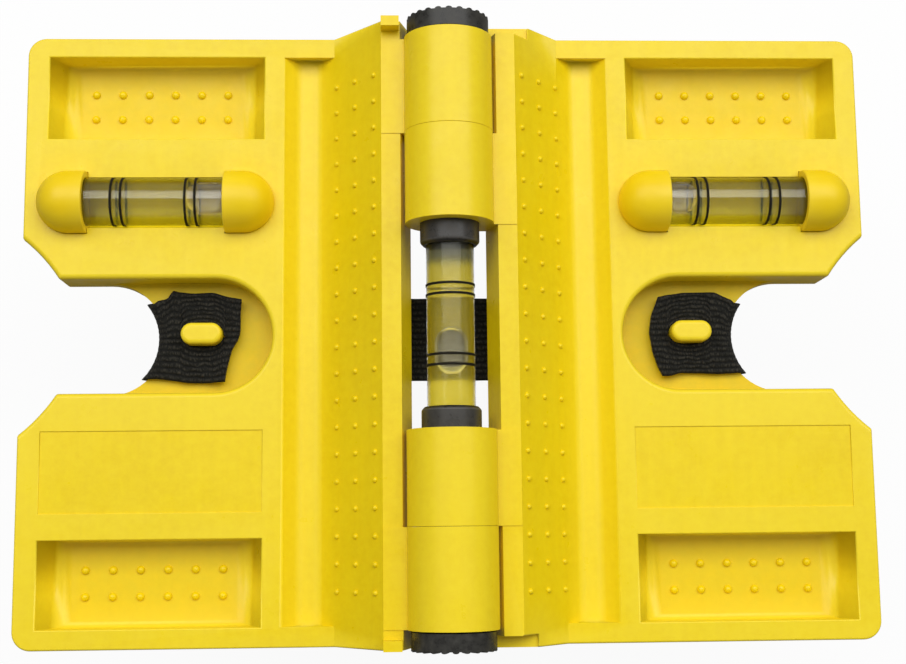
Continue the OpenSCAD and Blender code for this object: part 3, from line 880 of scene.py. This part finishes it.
def make_strap(material):
    """The whole strap as one closed sheet of cords, and the lines that it follows."""
    lines = strap_grid()
    bm = bmesh.new()
    lit_tops = bm.verts.layers.float.new("lit_cord_top")
    half = STRAP_T / 2
    layers = {1: [], -1: []}
    for v, points in lines:
        ridge = abs(math.sin(math.pi * CORDS * (v + 1) / 2))
        for layer, grid in layers.items():
            row = []
            for x, y, z, normal, relief in points:
                uneven = GROOVE_EVEN + (1 - GROOVE_EVEN) * math.sin(GROOVE_RATE * x + GROOVE_SKEW * v)
                out = layer * (half - CORD_DEPTH * relief * uneven * (1 - ridge))
                vert = bm.verts.new((x + normal[0] * out, y, z + normal[1] * out))
                # 1 on top of a cord, 0 in its groove: where the material paints highlight and shade
                vert[lit_tops] = ridge
                row.append(vert)
            grid.append(row)
    middle = CORDS * CORD_STEPS // 2
    last = len(lines[0][1]) - 1
    outer, inner = layers[1], layers[-1]
    for j in range(len(lines) - 1):
        if j == middle:
            continue
        for i in range(last):
            bm.faces.new((outer[j][i], outer[j][i + 1], outer[j + 1][i + 1], outer[j + 1][i]))
            bm.faces.new((inner[j][i], inner[j + 1][i], inner[j + 1][i + 1], inner[j][i + 1]))
        for i in (0, last):
            bm.faces.new((outer[j][i], outer[j + 1][i], inner[j + 1][i], inner[j][i]))
    for j in (0, middle, middle + 1, len(lines) - 1):
        for i in range(last):
            bm.faces.new((outer[j][i], outer[j][i + 1], inner[j][i + 1], inner[j][i]))
    bmesh.ops.remove_doubles(bm, verts=bm.verts, dist=WELD)
    bmesh.ops.recalc_face_normals(bm, faces=bm.faces)
    for face in bm.faces:
        face.smooth = True
    mesh = bpy.data.meshes.new("strap")
    bm.to_mesh(mesh)
    bm.free()
    mesh.transform(Matrix.Scale(MM, 4))
    mesh.materials.append(material)
    strap = link(bpy.data.objects.new("strap", mesh))
    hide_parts("strap_left_end", "strap_span", "strap_right_end")
    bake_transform(strap)
    return strap, lines


# Stage and light: the softbox in metres, radians and watts, and the floor and sky, where 1 is white

KEY_SIZE = (3.40, 1.05)
KEY_TILT = math.radians(26)
KEY_LEAN = math.radians(3)
KEY_AWAY = 1.5
KEY_POWER = 32.2
FLOOR_HALF = 3.0
LEAF_REACH = 86.0
FLOOR_GLOW = 0.93
FLOOR_WHITE = (0.90, 0.90, 0.90)
FLOOR_BOUNCE = (0.16, 0.16, 0.16)
GLOSSY_SHARE = 0.1
SKY_LEVEL = 0.26
BACKDROP_LEVEL = 0.985


def make_floor():
    """A floor that the camera sees as white, with a faint shadow, and that throws little light back up.

    It lies as low as the right leaf's edge reaches when it folds back, so that no pose sinks into it.
    """
    n = Nodes("floor")
    diffuse = n.add("ShaderNodeBsdfDiffuse")
    glow = n.add("ShaderNodeEmission")
    path = n.add("ShaderNodeLightPath")
    n.join(n.mix(path.outputs["Is Camera Ray"], FLOOR_BOUNCE, FLOOR_WHITE), diffuse.inputs["Color"])
    mirrored = n.remap(path.outputs["Is Glossy Ray"], 0, 1, 0, GLOSSY_SHARE)
    seen = n.sum(path.outputs["Is Camera Ray"], mirrored)
    seen = n.sum(seen, path.outputs["Is Transmission Ray"])
    share = n.remap(seen, 0, 1, 0, FLOOR_GLOW)
    blend = n.add("ShaderNodeMixShader")
    n.join(share, blend.inputs[0])
    n.join(diffuse.outputs[0], blend.inputs[1])
    n.join(glow.outputs[0], blend.inputs[2])
    n.join(blend.outputs[0], n.output.inputs["Surface"])
    mesh = bpy.data.meshes.new("floor")
    half = FLOOR_HALF
    corners = [(-half, -half), (half, -half), (half, half), (-half, half)]
    height = (AXIS_H - LEAF_REACH) * MM
    mesh.from_pydata([(x, y, height) for x, y in corners], [], [(0, 1, 2, 3)])
    mesh.materials.append(n.material)
    link(bpy.data.objects.new("floor", mesh))


def make_world():
    """Even white light from all round, behind which the camera sees the floor's white."""
    world = bpy.data.worlds.new("studio")
    world.use_nodes = True
    tree = world.node_tree
    sky = tree.nodes["Background"]
    sky.inputs["Color"].default_value = (1, 1, 1, 1)
    path = tree.nodes.new("ShaderNodeLightPath")
    direct = tree.nodes.new("ShaderNodeMath")
    tree.links.new(path.outputs["Is Camera Ray"], direct.inputs[0])
    tree.links.new(path.outputs["Is Transmission Ray"], direct.inputs[1])
    seen = tree.nodes.new("ShaderNodeMath")
    seen.operation = "MULTIPLY_ADD"
    tree.links.new(path.outputs["Is Glossy Ray"], seen.inputs[0])
    seen.inputs[1].default_value = GLOSSY_SHARE
    tree.links.new(direct.outputs[0], seen.inputs[2])
    level = tree.nodes.new("ShaderNodeMapRange")
    level.inputs["To Min"].default_value = SKY_LEVEL
    level.inputs["To Max"].default_value = BACKDROP_LEVEL
    tree.links.new(seen.outputs[0], level.inputs["Value"])
    tree.links.new(level.outputs[0], sky.inputs["Strength"])
    return world


def make_lights():
    """One wide softbox over the tool, towards its upper end, and the sky."""
    data = bpy.data.lights.new("softbox", "AREA")
    data.shape = "RECTANGLE"
    data.size, data.size_y = KEY_SIZE
    data.energy = KEY_POWER
    lamp = link(bpy.data.objects.new("softbox", data))
    tilt = Matrix.Rotation(KEY_LEAN, 4, "Y") @ Matrix.Rotation(-KEY_TILT, 4, "X")
    lamp.matrix_world = tilt @ Matrix.Translation((0, 0, KEY_AWAY))
    bpy.context.scene.world = make_world()


def dress(node, material):
    """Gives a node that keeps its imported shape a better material."""
    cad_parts[node].data.materials.clear()
    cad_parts[node].data.materials.append(material)


def build():
    bpy.context.scene.view_settings.view_transform = "Standard"
    make_camera()
    make_lights()
    make_floor()
    yellow, cap, black = leaf_plastic(), cap_plastic(), pin_plastic()
    ink, plug = ring_ink(), stopper()
    tubes = {
        "hinge": clear_tube("clear_tube_hinge", ior=1.23, smooth=0.12, rough=0.17),
        "left": clear_tube("clear_tube", ior=1.48, smooth=0.06, rough=0.10),
    }
    tubes["right"] = tubes["left"]
    for side in ("left", "right"):
        leaf = side + "_leaf"
        mark(rounded(leaf, leaf_radius, yellow, leaf, knuckle_place), "seat", dull_and_shaded_at)
        for end in ("outer", "inner"):
            rounded(f"{side}_vial_{end}_cap", cap_radius, cap, leaf)
    for pin in ("upper_hinge_pin", "lower_hinge_pin"):
        mark(rounded(pin, pin_radius, black, "axle", head_place), "head", on_head)
    for vial in ("hinge", "left", "right"):
        dress(vial + "_vial_tube", tubes[vial])
        dress(vial + "_vial_lines", ink)
        dress(vial + "_vial_plug", plug)
    cloudy = spirit(
        "spirit_cloudy", ior=1.25, clearness=0.78, pale=(0.74, 0.60, 0.05), deep=(0.68, 0.55, 0.04)
    )
    clear = spirit(
        "spirit_clear", ior=1.36, clearness=0.95, pale=(0.42, 0.40, 0.030), deep=(0.38, 0.36, 0.022)
    )
    to_left = Matrix(((0, 0, -1, 0), (0, 1, 0, 0), (1, 0, 0, 0), (0, 0, 0, 1)))
    to_right = Matrix(((0, 0, 1, 0), (0, -1, 0, 0), (1, 0, 0, 0), (0, 0, 0, 1)))
    down = Matrix(((0, -1, 0, 0), (0, 0, -1, 0), (1, 0, 0, 0), (0, 0, 0, 1)))
    make_fluid("right", to_left, LEAF_COLUMN, RIGHT_BUBBLE, LEAF_COLUMN[0], clear, "right_leaf")
    make_fluid("left", to_right, LEAF_COLUMN, LEFT_BUBBLE, LEAF_COLUMN[0], clear, "left_leaf")
    make_fluid("hinge", down, HINGE_COLUMN, HINGE_BUBBLE, HINGE_SHADE_FROM, cloudy, "axle")
    strap, lines = make_strap(strap_elastic())
    cord = np.array([point[:3] for point in lines[len(lines) // 4][1]])
    length = np.linalg.norm(np.diff(cord, axis=0), axis=1).sum()


build()
